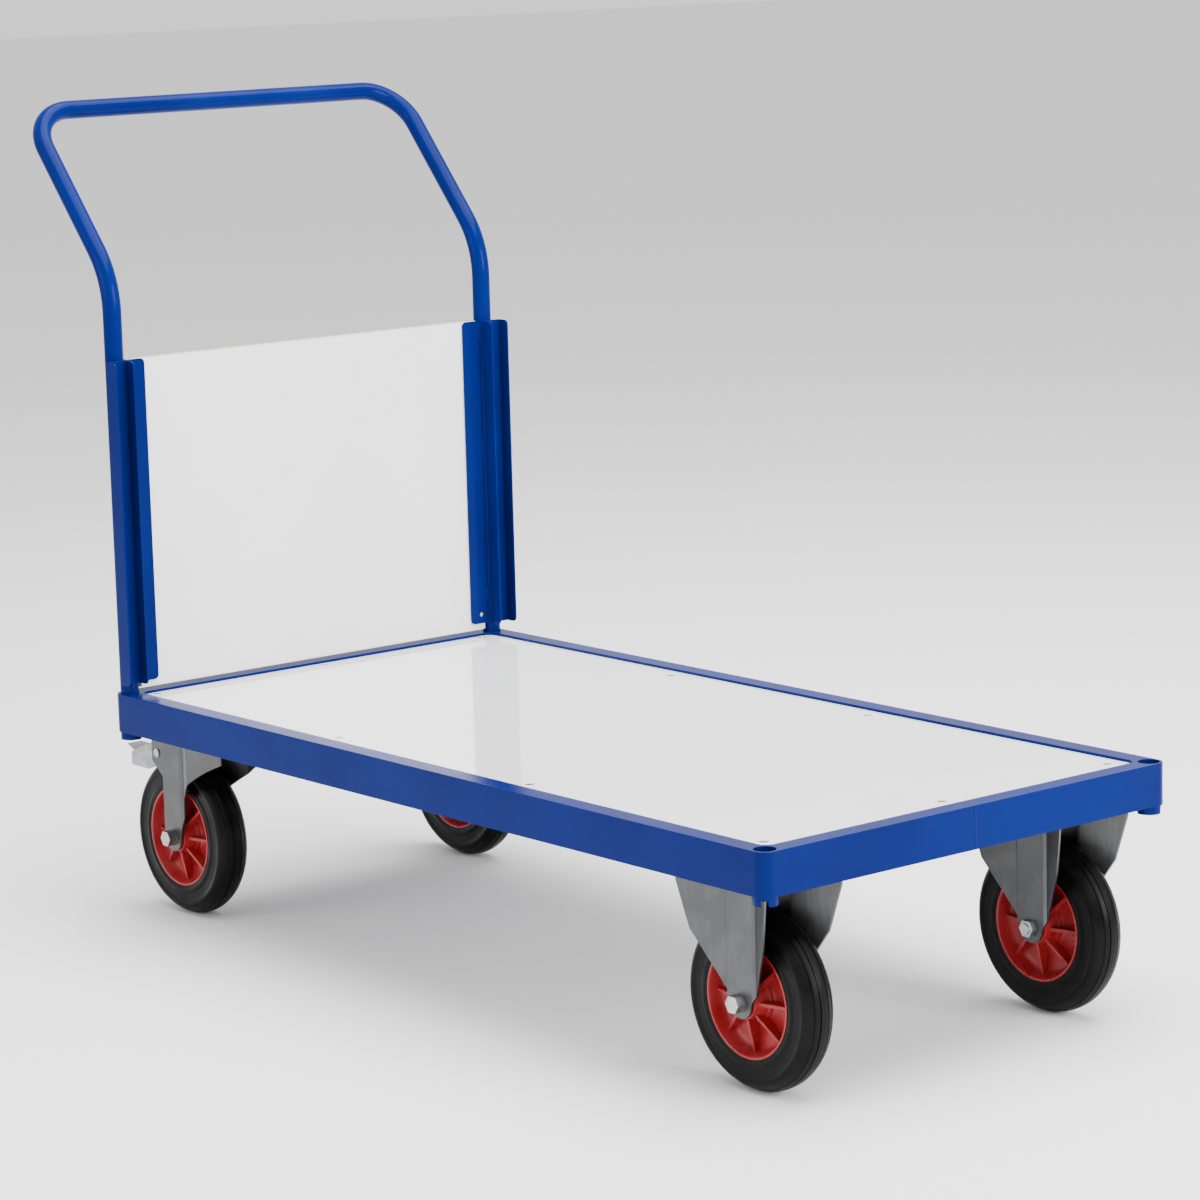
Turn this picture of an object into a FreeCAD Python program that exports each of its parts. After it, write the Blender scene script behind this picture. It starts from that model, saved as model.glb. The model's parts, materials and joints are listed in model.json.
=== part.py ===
"""Platform trolley with a plug-in push end: a steel-framed deck on two fixed and two braked swivel castors.

Millimetres. +X is forward, from the push end to the open end, +Y is the left side, +Z is up.
The origin is on the floor, in the middle of the whole trolley's footprint. The sub-parts are built
about the middle of the platform, and save() moves them forward by origin_shift.
"""
import FreeCAD, Part
import math
import os

V = FreeCAD.Vector
X_AXIS = V(1, 0, 0)
Y_AXIS = V(0, 1, 0)
Z_AXIS = V(0, 0, 1)
EXTRA = 1.0  # how far a cutting tool runs past the face it cuts

# ---- platform ----
platform_length = 1205.0
platform_width = 600.0
frame_height = 48.0
frame_sheet = 2.0
lip_width = 25.0
ledge_width = 15.0
return_width = 12.0
board_recess = 3.0
board_thickness = 12.0
board_clearance = 0.5

# ---- corner sockets and the push end's posts ----
post_diameter = 23.0
post_wall = 2.0
socket_clearance = 0.5
socket_wall = 1.5
socket_projection = 10.0
socket_notch_width = 8.0
socket_notch_depth = 6.0
socket_step_clearance = 2.9
seat_ring_height = 3.0
seat_ring_bore = 12.0

# ---- cross members ----
member_sheet = 2.5
member_return = 30.0
deck_member_width = 50.0
deck_member_places = (-188.0, 168.0)

# ---- deck screws ----
deck_screw_diameter = 5.0
deck_screw_head = 11.0
deck_screw_head_height = 3.0
deck_screw_length = 25.0
deck_screw_side_inset = 45.0
deck_screw_front_inset = 50.0
deck_screw_hole_clearance = 0.25

# ---- castors ----
castor_head_room = 41.0
castor_socket_gap = 4.0
castor_side_inset = 84.0
castor_trail = 65.0
castor_plate_length = 140.0
castor_plate_width = 110.0
castor_plate_sheet = 4.0
castor_bolt_pitch_x = 105.0
swivel_bolt_pitch_y = 80.0
fixed_bolt_pitch_y = 60.0
castor_bolt_diameter = 8.0
castor_bolt_hole_clearance = 0.5
castor_bolt_head = 13.0
castor_bolt_head_height = 5.5
castor_nut_height = 6.5

# ---- forks ----
fork_sheet = 2.5
tyre_side_clearance = 6.0
fork_foot_radius = 17.5
fork_flute_half_width = 20.0
fork_flute_height = 3.0
fork_flute_slope = 3.0
fixed_wing_waist_drop = 63.0
fixed_wing_waist_x = 58.0
fixed_wing_corner_drop = 12.0
swivel_wing_back = 3.0
swivel_wing_flare = 17.5
swivel_nose_reach = 62.0
swivel_nose_flare = 10.5
swivel_nose_drop = 15.0
swivel_nose_hollow = 4.0
swivel_ear_x = 40.0
swivel_ear_height = 34.0
swivel_shin_rise = 52.0
swivel_shin_x = 28.0

# ---- swivel head ----
race_outer_radius = 40.0
race_inner_radius = 30.0
race_height = 8.0
race_clearance = 0.3
race_groove = 2.0
king_pin_diameter = 16.0
king_pin_clearance = 0.05
king_pin_head = 26.0
king_pin_head_height = 4.0

# ---- wheels ----
wheel_radius = 100.0
tyre_width = 42.0
tyre_shoulder_drop = 9.0
tyre_shoulder_inset = 2.0
tyre_wall_drop = 16.0
tyre_bead_height = 6.0
tyre_groove_depth = 1.2
tyre_groove_width = 1.6
tyre_groove_places = (6.5, 12.0)
rim_radius = 62.5
rim_wall = 4.5
rim_inset = 0.5
web_thickness = 6.0
boss_radius = 18.0
boss_end_gap = 2.0
rib_thickness = 3.0
rib_count = 8
rib_inset = 3.0
bearing_outer_radius = 13.5
sleeve_outer_radius = 10.0
bearing_clearance = 0.05
axle_diameter = 12.0
axle_clearance = 0.1
axle_head = 18.0
axle_head_height = 12.0
axle_nut_height = 8.0
axle_tail = 2.0

# ---- brakes ----
brake_pivot_x = -28.0
brake_pivot_rise = 3.5
brake_pivot_diameter = 6.0
brake_pivot_clearance = 0.05
brake_pivot_head = 11.0
brake_pivot_head_height = 1.5
brake_travel = 8.0
brake_side_gap = 1.5
brake_sheet = 2.0
treadle_root_inset = 7.0
treadle_length = 31.0
treadle_root_drop = 5.0
treadle_tip_drop = 1.0
treadle_root_width = 38.0
treadle_tip_width = 21.0
pedal_top_rise = 13.0
pedal_front_x = -12.0
pedal_skirt_drop = 22.0
shoe_half_width = 15.0
shoe_front_x = -48.0
shoe_rear_x = -72.0
shoe_gap = 0.5

# ---- push end ----
bend_clearance = 100.0
handle_lean = 41.0
handle_reach = 260.0
lean_bend_radius = 115.0
grip_bend_radius = 58.0
channel_sheet = 2.0
channel_bottom_gap = 13.0
channel_height = 400.0
channel_corner_radius = 6.0
end_channel_width = 16.0
end_channel_reach = 38.5
side_channel_inboard = 8.8
side_channel_outboard = 18.7
side_channel_reach = 30.8
panel_thickness = 10.0
panel_gap = 5.0
panel_edge_clearance = 1.0
panel_hole_diameter = 6.0
panel_hole_rise = 12.0
panel_hole_reach = 21.3
panel_screw_diameter = 4.0
panel_screw_head = 8.0
panel_screw_head_height = 2.0
panel_screw_bite = 7.0

# ---- worked-out places ----
castor_height = 2 * wheel_radius + castor_head_room
frame_bottom = castor_height - frame_sheet
platform_top = frame_bottom + frame_height
board_top = platform_top - board_recess
board_bottom = board_top - board_thickness
ledge_bottom = board_bottom - frame_sheet
socket_bore = post_diameter + 2 * socket_clearance
socket_outer = socket_bore + 2 * socket_wall
post_inset = frame_sheet + socket_outer / 2
post_x = platform_length / 2 - post_inset
post_y = platform_width / 2 - post_inset
step_room = socket_outer / 2 + socket_step_clearance + frame_sheet - math.sqrt(2) * (lip_width - post_inset)
lip_corner_radius = max(step_room / (math.sqrt(2) - 1), 2 * frame_sheet)
socket_bottom = frame_bottom - socket_projection
seat_top = socket_bottom + socket_notch_depth + seat_ring_height
castor_end_inset = post_inset + socket_outer / 2 + castor_socket_gap + castor_plate_length / 2
castor_x = platform_length / 2 - castor_end_inset
castor_y = platform_width / 2 - castor_side_inset
castor_member_outer = platform_length / 2 - lip_width - ledge_width
castor_member_inner = castor_x - castor_plate_length / 2
fork_gap = tyre_width + 2 * tyre_side_clearance
fork_outer = fork_gap / 2 + fork_sheet
swivel_wing = (castor_trail - swivel_wing_back, fork_outer + swivel_wing_flare)
swivel_nose = (castor_trail + swivel_nose_reach, fork_outer + swivel_nose_flare)
rim_width = tyre_width - 2 * rim_inset
boss_length = fork_gap - 2 * boss_end_gap
brake_pivot_height = 2 * wheel_radius + brake_pivot_rise
plate_bottom = castor_height - castor_plate_sheet
crown_top = plate_bottom - race_height
crown_bottom = crown_top - fork_sheet
member_top = castor_height + member_sheet
channel_bottom = platform_top + channel_bottom_gap
channel_top = channel_bottom + channel_height
bend_height = channel_top + bend_clearance
handle_rear = post_x + handle_reach * math.sin(math.radians(handle_lean)) + post_diameter / 2
origin_shift = (handle_rear - platform_length / 2) / 2

SIDES = (("left", 1), ("right", -1))


def save(name, *solids):
    """Write one named sub-part; several solids become one group."""
    clean = [solid for shape in solids for solid in shape.Solids]
    shape = clean[0].copy() if len(clean) == 1 else Part.makeCompound(clean)
    shape.translate(V(origin_shift, 0, 0))
    shape.exportStep(os.path.join("parts", name + ".step"))
    print(name, len(clean), "solid(s)", round(sum(solid.Volume for solid in clean) / 1000, 2), "cm3")


def box(x0, x1, y0, y1, z0, z1):
    return Part.makeBox(x1 - x0, y1 - y0, z1 - z0, V(x0, y0, z0))


def rod(radius, start, length, direction):
    return Part.makeCylinder(radius, length, start, direction)


def ring(outer, inner, start, length, direction):
    return rod(outer, start, length, direction).cut(rod(inner, start, length, direction))


def hexagon(across_flats, start, height, direction):
    """Hexagonal prism for a bolt head or a nut."""
    side = Part.makeCylinder(across_flats / math.sqrt(3), height, start, direction)
    reach = across_flats
    across = X_AXIS if abs(direction.z) > 0.5 else Z_AXIS
    along = direction.cross(across)
    for step in range(3):
        angle = math.radians(60 * step)
        normal = across * math.cos(angle) + along * math.sin(angle)
        tangent = direction.cross(normal)
        for sign in (1, -1):
            corner = start + normal * (sign * across_flats / 2) - tangent * reach
            edge = [corner, corner + tangent * 2 * reach]
            far = [point + normal * (sign * reach) for point in edge]
            face = Part.Face(Part.makePolygon([edge[0], edge[1], far[1], far[0], edge[0]]))
            side = side.cut(face.extrude(direction * height))
    return side


def rounded_slab(inset, radius, z0, z1):
    """Block with the platform's outline moved in by inset."""
    half_x = platform_length / 2 - inset
    half_y = platform_width / 2 - inset
    slab = box(-half_x, half_x, -half_y, half_y, z0, z1)
    uprights = [edge for edge in slab.Edges if abs(edge.tangentAt(edge.FirstParameter).z) > 0.5]
    return slab.makeFillet(radius, uprights)


def frame_ring(outer_inset, inner_inset, z0, z1):
    """Band of the rolled frame section between two insets."""
    outer = rounded_slab(outer_inset, corner_radius(outer_inset), z0, z1)
    inner = rounded_slab(inner_inset, corner_radius(inner_inset), z0 - EXTRA, z1 + EXTRA)
    return outer.cut(inner)


def corner_radius(inset):
    """The wall is round about the sockets, and the lip's inner edge has a radius of its own."""
    if inset <= return_width:
        return max(post_inset - inset, frame_sheet)
    return lip_corner_radius


def fuse(shapes):
    return shapes[0].multiFuse(shapes[1:]).removeSplitter()


def prism_xz(points, y0, y1):
    """Solid with an X-Z outline, between two Y planes."""
    corners = [V(x, y0, z) for x, z in points]
    return Part.Face(Part.makePolygon(corners + corners[:1])).extrude(V(0, y1 - y0, 0))


def prism_xy(points, z0, z1):
    """Solid with an X-Y outline, between two heights."""
    corners = [V(x, y, z0) for x, y in points]
    return Part.Face(Part.makePolygon(corners + corners[:1])).extrude(V(0, 0, z1 - z0))


def mirrored(shape, side):
    """The shape itself for the left side, and its mirror image for the right."""
    return shape if side > 0 else shape.mirror(V(0, 0, 0), Y_AXIS)


# ---- platform ----

def post_places():
    return [("front", 1), ("rear", -1)]


def build_perimeter_frame():
    """Rolled section: wall, lip, step down to the ledge that carries the board, and bottom return."""
    wall = frame_ring(0, frame_sheet, frame_bottom, platform_top)
    lip = frame_ring(0, lip_width, platform_top - frame_sheet, platform_top)
    step = frame_ring(lip_width - frame_sheet, lip_width, ledge_bottom, platform_top)
    ledge = frame_ring(lip_width - frame_sheet, lip_width + ledge_width, ledge_bottom, board_bottom)
    foot = frame_ring(0, return_width, frame_bottom, castor_height)
    section = fuse([wall, lip, step, ledge, foot])
    for _, end in post_places():
        for _, side in SIDES:
            hole = rod(socket_bore / 2, V(end * post_x, side * post_y, 0), platform_top + EXTRA, Z_AXIS)
            foot = V(end * post_x, side * post_y, 0)
            tube = rod(socket_outer / 2, foot, platform_top - frame_sheet, Z_AXIS)
            section = section.cut(hole).cut(tube)
    for x, y in deck_screw_places():
        section = section.cut(rod(deck_screw_diameter / 2, V(x, y, 0), platform_top - frame_sheet, Z_AXIS))
    return section


def build_socket(end, side):
    """Open tube welded into a corner: reamed for the post, with a notch across its lower end."""
    place = V(end * post_x, side * post_y, socket_bottom)
    length = platform_top - frame_sheet - socket_bottom
    tube = ring(socket_outer / 2, post_diameter / 2, place, length, Z_AXIS)
    reamed = rod(socket_bore / 2, V(place.x, place.y, seat_top), platform_top - seat_top, Z_AXIS)
    half = socket_notch_width / 2
    notch = box(place.x - socket_outer, place.x + socket_outer, place.y - half, place.y + half,
                socket_bottom - EXTRA, socket_bottom + socket_notch_depth)
    notch = notch.rotated(place, Z_AXIS, math.degrees(math.atan2(side, end)))
    return tube.cut(reamed).cut(notch)


def build_seat_ring(end, side):
    """Stop for the post, welded into the drawn bore flush with the end of the reamed bore."""
    place = V(end * post_x, side * post_y, seat_top - seat_ring_height)
    return ring(post_diameter / 2, seat_ring_bore / 2, place, seat_ring_height, Z_AXIS)


def member_blank(centre_x, width, z0):
    """Upright-sided channel across the frame, notched at its ends to pass under the ledges."""
    half_y = platform_width / 2 - frame_sheet
    blank = box(centre_x - width / 2, centre_x + width / 2, -half_y, half_y, z0, board_bottom)
    return blank.cut(frame_ring(0, lip_width + ledge_width, board_bottom - member_sheet, platform_top))


def build_castor_member(end):
    """Wide channel that the castors bolt to; its returned tops carry the board."""
    centre_x = end * (castor_member_outer + castor_member_inner) / 2
    width = castor_member_outer - castor_member_inner
    member = member_blank(centre_x, width, castor_height)
    inside = width / 2 - member_sheet
    cavity = box(centre_x - inside, centre_x + inside, -platform_width, platform_width,
                 member_top, board_bottom - member_sheet)
    slot = box(centre_x - width / 2 + member_return, centre_x + width / 2 - member_return,
               -platform_width, platform_width, member_top, platform_top)
    member = member.cut(cavity).cut(slot)
    hole = castor_bolt_diameter / 2 + castor_bolt_hole_clearance
    for x, y in castor_bolt_places(end):
        member = member.cut(rod(hole, V(x, y, 0), platform_top, Z_AXIS))
    return cut_deck_screw_pilots(member)


def build_deck_member(centre_x):
    """Narrow hat-shaped member under the middle of the board."""
    bottom = castor_height
    member = member_blank(centre_x, deck_member_width, bottom)
    inside = deck_member_width / 2 - member_sheet
    cavity = box(centre_x - inside, centre_x + inside, -platform_width, platform_width,
                 bottom - EXTRA, ledge_bottom - member_sheet)
    return cut_deck_screw_pilots(member.cut(cavity))


def deck_screw_places():
    """Four screws along each side and one in the middle of each end."""
    side_y = platform_width / 2 - deck_screw_side_inset
    rear_x = -(platform_length / 2 - lip_width - ledge_width / 2)
    front_x = platform_length / 2 - deck_screw_front_inset
    places = [(x, side * side_y) for x in (rear_x, *deck_member_places, front_x) for _, side in SIDES]
    return places + [(rear_x, 0.0), (front_x, 0.0)]


def cut_deck_screw_pilots(member):
    for x, y in deck_screw_places():
        member = member.cut(rod(deck_screw_diameter / 2, V(x, y, frame_bottom), frame_height, Z_AXIS))
    return member


def deck_screw(x, y, spare):
    """Countersunk screw, or with some spare radius the hole that it sits in."""
    shank = deck_screw_diameter / 2 + spare
    head = deck_screw_head / 2 + spare
    neck = V(x, y, board_top - deck_screw_head_height)
    cone = Part.makeCone(shank, head, deck_screw_head_height, neck, Z_AXIS)
    body = rod(shank, V(x, y, board_top - deck_screw_length), deck_screw_length, Z_AXIS)
    return body.fuse(cone).removeSplitter()


def build_deck_board():
    board = rounded_slab(lip_width + board_clearance, lip_corner_radius, board_bottom, board_top)
    for x, y in deck_screw_places():
        board = board.cut(deck_screw(x, y, deck_screw_hole_clearance))
    return board


# ---- castor mountings ----

def castor_bolt_places(end):
    pitch_y = fixed_bolt_pitch_y if end > 0 else swivel_bolt_pitch_y
    places = []
    for _, side in SIDES:
        for step_x in (1, -1):
            for step_y in (1, -1):
                x = end * castor_x + step_x * castor_bolt_pitch_x / 2
                places.append((x, side * castor_y + step_y * pitch_y / 2))
    return places


def castor_bolt(x, y):
    shank = rod(castor_bolt_diameter / 2, V(x, y, plate_bottom),
                castor_plate_sheet + member_sheet + castor_nut_height + frame_sheet, Z_AXIS)
    head = hexagon(castor_bolt_head, V(x, y, plate_bottom - castor_bolt_head_height),
                   castor_bolt_head_height, Z_AXIS)
    return shank.fuse(head).removeSplitter()


def castor_nut(x, y):
    nut = hexagon(castor_bolt_head, V(x, y, member_top), castor_nut_height, Z_AXIS)
    return nut.cut(rod(castor_bolt_diameter / 2, V(x, y, member_top), castor_nut_height, Z_AXIS))


def castor_plate(centre_x, centre_y, pitch_y):
    """Flat mounting plate with its four bolt holes."""
    half_x = castor_plate_length / 2
    half_y = castor_plate_width / 2
    plate = box(centre_x - half_x, centre_x + half_x, centre_y - half_y, centre_y + half_y,
                plate_bottom, castor_height)
    uprights = [edge for edge in plate.Edges if abs(edge.tangentAt(edge.FirstParameter).z) > 0.5]
    plate = plate.makeFillet(channel_corner_radius, uprights)
    for step_x in (1, -1):
        for step_y in (1, -1):
            place = V(centre_x + step_x * castor_bolt_pitch_x / 2, centre_y + step_y * pitch_y / 2, 0)
            plate = plate.cut(rod(castor_bolt_diameter / 2 + castor_bolt_hole_clearance, place,
                                  castor_height + EXTRA, Z_AXIS))
    return plate


# ---- forks: each is built about its own axle, at x = 0, y = 0 ----

def fluted_path(front, rear):
    """Plan line of a fork leg: its raised flute, with whatever wings it has in front and behind."""
    sunk = fork_outer - fork_flute_height
    flute = fork_flute_half_width
    outer = flute + fork_flute_slope
    return rear + [(-outer, sunk), (-flute, fork_outer), (flute, fork_outer), (outer, sunk)] + front


def sheet_leg(path, z0, z1):
    """Bent sheet that follows a plan line on its outer face, for the +Y leg."""
    offset = fork_sheet
    pieces = []
    for (x0, y0), (x1, y1) in zip(path, path[1:]):
        length = math.hypot(x1 - x0, y1 - y0)
        nx = (y1 - y0) / length * offset
        ny = -(x1 - x0) / length * offset
        pieces.append(prism_xy([(x0, y0), (x1, y1), (x1 + nx, y1 + ny), (x0 + nx, y0 + ny)], z0, z1))
    for (x, y) in path[1:-1]:
        pieces.append(rod(offset, V(x, y, z0), z1 - z0, Z_AXIS))
    under = [(x, 0.0) for x, _ in (path[-1], path[0])]
    return fuse(pieces).common(prism_xy(path + under, z0, z1))


def foot_outline(left, right):
    """Round foot of a leg about the axle, joined to the points above it on each side."""
    steps = 12
    arc = []
    for step in range(steps + 1):
        angle = math.pi + math.pi * step / steps
        arc.append((fork_foot_radius * math.cos(angle), wheel_radius + fork_foot_radius * math.sin(angle)))
    return left + arc + right


def leg_pair(path, outline, top):
    """Both legs of a fork, trimmed to their side view and drilled for the axle."""
    leg = sheet_leg(path, wheel_radius - 2 * fork_foot_radius, top)
    reach = castor_plate_width
    leg = leg.common(prism_xz(outline, 0, reach))
    leg = leg.cut(rod(axle_diameter / 2 + axle_clearance, V(0, 0, wheel_radius), reach, Y_AXIS))
    return [leg, leg.mirror(V(0, 0, 0), Y_AXIS)]


def build_fixed_fork(side):
    """Plate and two winged legs, pressed and welded into one piece."""
    half_x = castor_plate_length / 2
    reach_y = castor_plate_width / 2
    path = fluted_path([(half_x, reach_y)], [(-half_x, reach_y)])
    waist_z = plate_bottom - fixed_wing_waist_drop
    corner_z = plate_bottom - fixed_wing_corner_drop
    left = [(-half_x, plate_bottom), (-half_x, corner_z), (-fixed_wing_waist_x, waist_z)]
    right = [(x * -1, z) for x, z in reversed(left)]
    legs = leg_pair(path, foot_outline(left, right), plate_bottom)
    plate = castor_plate(0, 0, fixed_bolt_pitch_y)
    fork = fuse([plate] + legs)
    fork.translate(V(castor_x, side * castor_y, 0))
    return fork


def nose_curve():
    """Front edge of a swivel leg: a hollow curve from the shin up to the nose."""
    shin = V(swivel_shin_x, 0, wheel_radius + swivel_shin_rise)
    nose = V(swivel_nose[0], 0, crown_bottom - swivel_nose_drop)
    sag = (shin + nose) / 2 + V(-swivel_nose_hollow, 0, swivel_nose_hollow)
    edge = Part.Arc(shin, sag, nose).toShape()
    return [(point.x, point.z) for point in edge.discretize(9)]


def crown_outline():
    """Plan of the fork's crown, which covers the tops of both legs."""
    brow = (swivel_nose[0] + swivel_nose_flare, swivel_nose[1] / 2)
    half = [(-swivel_ear_x, fork_outer), (fork_flute_half_width, fork_outer), swivel_wing, swivel_nose, brow]
    return half + [(x, -y) for x, y in reversed(half)]


def build_swivel_fork(side):
    """Pressed crown and two trailing legs, with ears at the rear for the brake pivot."""
    path = fluted_path([swivel_wing, swivel_nose], [])
    path = [(-swivel_ear_x, fork_outer)] + path[2:]
    ear_z = crown_bottom - swivel_ear_height
    left = [(-swivel_ear_x, crown_bottom), (-swivel_ear_x, ear_z),
            (-fork_foot_radius, ear_z - fork_foot_radius)]
    right = nose_curve() + [(swivel_nose[0], crown_bottom)]
    legs = leg_pair(path, foot_outline(left, right), crown_bottom)
    crown = prism_xy(crown_outline(), crown_bottom, crown_top)
    crown = crown.cut(rod(king_pin_diameter / 2 + king_pin_clearance, V(castor_trail, 0, 0),
                          castor_height, Z_AXIS))
    fork = fuse([crown] + legs)
    reach = castor_plate_width
    fork = fork.cut(rod(brake_pivot_diameter / 2 + brake_pivot_clearance,
                        V(brake_pivot_x, -reach, brake_pivot_height), 2 * reach, Y_AXIS))
    return place_swivel(fork, side)


def place_swivel(shape, side):
    """Move a piece of a swivel castor from its axle's own frame to its place."""
    shape.translate(V(-castor_x - castor_trail, side * castor_y, 0))
    return shape


def build_swivel_plate(side):
    """Mounting plate of a swivel castor, with the upper race pressed into it."""
    plate = castor_plate(-castor_x, side * castor_y, swivel_bolt_pitch_y)
    centre = V(-castor_x, side * castor_y, plate_bottom - race_height / 2 + race_clearance)
    upper = ring(race_outer_radius, race_inner_radius, centre, race_height / 2 - race_clearance, Z_AXIS)
    bore = rod(king_pin_diameter / 2, V(centre.x, centre.y, 0), castor_height + EXTRA, Z_AXIS)
    return fuse([plate, upper]).cut(bore)


def build_ball_race(side):
    """Lower race, which turns with the fork."""
    centre = V(castor_trail, 0, crown_top)
    lower = ring(race_outer_radius + race_groove, race_inner_radius, centre, race_height / 2, Z_AXIS)
    return place_swivel(lower, side)


def build_king_pin(side):
    """Pin that holds the fork up to the plate; its wide head is under the crown."""
    centre = V(-castor_x, side * castor_y, crown_bottom - race_clearance - king_pin_head_height)
    shank = rod(king_pin_diameter / 2, centre, castor_height - centre.z, Z_AXIS)
    head = rod(king_pin_head / 2, centre, king_pin_head_height, Z_AXIS)
    return shank.fuse(head).removeSplitter()


# ---- wheels: built about the axle at x = 0, y = 0 ----

def turned(points):
    """Solid of revolution about the axle from a (y, radius) outline."""
    corners = [V(0, y, wheel_radius + r) for y, r in points]
    face = Part.Face(Part.makePolygon(corners + corners[:1]))
    return face.revolve(V(0, 0, wheel_radius), Y_AXIS, 360)


def build_tyre():
    """Rubber tyre with a crowned tread and a few round grooves on its shoulders."""
    half = tyre_width / 2
    rim_half = rim_width / 2
    shoulder_y = half - tyre_shoulder_inset
    crown = Part.Arc(V(0, -shoulder_y, wheel_radius - tyre_shoulder_drop), V(0, 0, wheel_radius),
                     V(0, shoulder_y, wheel_radius - tyre_shoulder_drop)).toShape()
    tread = [(point.y, point.z) for point in crown.discretize(15)]
    bead = rim_radius + tyre_bead_height
    wall = wheel_radius - tyre_wall_drop
    outline = [(-rim_half, rim_radius), (-half, bead), (-half, wall)] + tread
    outline += [(half, wall), (half, bead), (rim_half, rim_radius)]
    tyre = turned(outline)
    for place in tyre_groove_places:
        for side in (1, -1):
            surface = tread_radius(tread, place)
            centre = V(0, side * place - tyre_groove_width / 2, wheel_radius)
            floor = surface - tyre_groove_depth
            groove = ring(wheel_radius + EXTRA, floor, centre, tyre_groove_width, Y_AXIS)
            tyre = tyre.cut(groove)
    return tyre


def tread_radius(tread, y):
    """Radius of the tread at a distance from its middle."""
    for (y0, r0), (y1, r1) in zip(tread, tread[1:]):
        if y0 <= y <= y1:
            return r0 + (r1 - r0) * (y - y0) / (y1 - y0)
    return wheel_radius


def build_hub():
    """Moulded hub: rim, web, ribs on both faces, and the boss for the bearing."""
    centre = V(0, 0, wheel_radius)
    rim_half = rim_width / 2
    rim = turned([(-rim_half, rim_radius), (rim_half, rim_radius), (rim_half, rim_radius - rim_wall / 2),
                  (web_thickness, rim_radius - 2 * rim_wall), (-web_thickness, rim_radius - 2 * rim_wall),
                  (-rim_half, rim_radius - rim_wall / 2)])
    web = ring(rim_radius - rim_wall, bearing_outer_radius, centre - Y_AXIS * (web_thickness / 2),
               web_thickness, Y_AXIS)
    boss = ring(boss_radius, bearing_outer_radius, centre - Y_AXIS * (boss_length / 2), boss_length, Y_AXIS)
    low = web_thickness / 2
    ribs = []
    for index in range(rib_count):
        rib = prism_yz_rib(low, rim_half)
        rib.rotate(centre, Y_AXIS, 360 / rib_count * index)
        ribs.append(rib)
    return fuse([rim, web, boss] + ribs)


def prism_yz_rib(low, rim_half):
    """One rib through the web, tall at the boss and sloping down to the rim."""
    boss_half = boss_length / 2 - rib_inset
    inner = wheel_radius + boss_radius - rib_inset
    outer = wheel_radius + rim_radius - rim_wall
    outline = [(-boss_half, inner), (boss_half, inner), (rim_half - rib_inset * 2, outer),
               (-rim_half + rib_inset * 2, outer)]
    corners = [V(-rib_thickness / 2, y, z) for y, z in outline]
    return Part.Face(Part.makePolygon(corners + corners[:1])).extrude(V(rib_thickness, 0, 0))


def build_roller_bearing():
    inner = sleeve_outer_radius + bearing_clearance
    centre = V(0, -boss_length / 2, wheel_radius)
    return ring(bearing_outer_radius, inner, centre, boss_length, Y_AXIS)


def build_axle_sleeve():
    centre = V(0, -fork_gap / 2, wheel_radius)
    return ring(sleeve_outer_radius, axle_diameter / 2 + axle_clearance, centre, fork_gap, Y_AXIS)


def build_axle_bolt():
    """Bolt through the fork, with its head on the outboard side."""
    start = V(0, fork_outer, wheel_radius)
    shank = rod(axle_diameter / 2, start, 2 * fork_outer + axle_nut_height + axle_tail, Y_AXIS * -1)
    head = hexagon(axle_head, start, axle_head_height, Y_AXIS)
    return shank.fuse(head).removeSplitter()


def build_axle_nut():
    start = V(0, -fork_outer, wheel_radius)
    nut = hexagon(axle_head, start, axle_nut_height, Y_AXIS * -1)
    return nut.cut(rod(axle_diameter / 2, start, axle_nut_height, Y_AXIS * -1))


def wheel_place(end, side):
    x = castor_x if end > 0 else -castor_x - castor_trail
    return V(x, side * castor_y, 0)


def placed(shape, end, side):
    """A wheel piece, turned to face outboard and moved to its castor."""
    result = mirrored(shape, side).copy()
    result.translate(wheel_place(end, side))
    return result


# ---- brakes: built about the castor's axle, at x = 0, y = 0 ----

def pedal_half_width():
    return fork_gap / 2 - brake_side_gap


def pedal_top_line():
    """Side view of the pedal's top skin, from the fork back to the tip of the treadle."""
    tyre_top = 2 * wheel_radius
    root_x = treadle_root_inset - wheel_radius
    return [(pedal_front_x, tyre_top + pedal_top_rise),
            (brake_pivot_x * 2, tyre_top + pedal_top_rise - brake_sheet),
            (root_x, tyre_top - treadle_root_drop), (root_x - treadle_length, tyre_top - treadle_tip_drop)]


def pedal_plan(root_x, tip_x):
    """Plan of the pedal: full width over the tyre, then narrower out to the treadle's tip."""
    half = [(pedal_front_x, pedal_half_width()), (root_x, pedal_half_width()),
            (root_x, treadle_root_width / 2), (tip_x, treadle_tip_width / 2)]
    return half + [(x, -y) for x, y in reversed(half)]


def build_brake_pedal():
    """Folded pedal: a top skin that ends in the treadle, and a skirt on each side of the tyre."""
    half = pedal_half_width()
    line = pedal_top_line()
    under = [(x, z - brake_sheet) for x, z in reversed(line)]
    root_x = line[2][0]
    plan = prism_xy(pedal_plan(root_x, line[3][0]), 0, castor_height)
    skin = prism_xz(line + under, -half, half).common(plan)
    skirt_z = 2 * wheel_radius - pedal_skirt_drop
    skirt_line = line[:3] + [(root_x, skirt_z), (brake_pivot_x * 2, skirt_z),
                             (pedal_front_x, brake_pivot_height - brake_pivot_head)]
    skirts = [prism_xz(skirt_line, half - brake_sheet, half),
              prism_xz(skirt_line, -half, brake_sheet - half)]
    pedal = fuse([skin] + skirts)
    return pedal.cut(rod(brake_pivot_diameter / 2 + brake_pivot_clearance,
                         V(brake_pivot_x, -half, brake_pivot_height), 2 * half, Y_AXIS))


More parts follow.
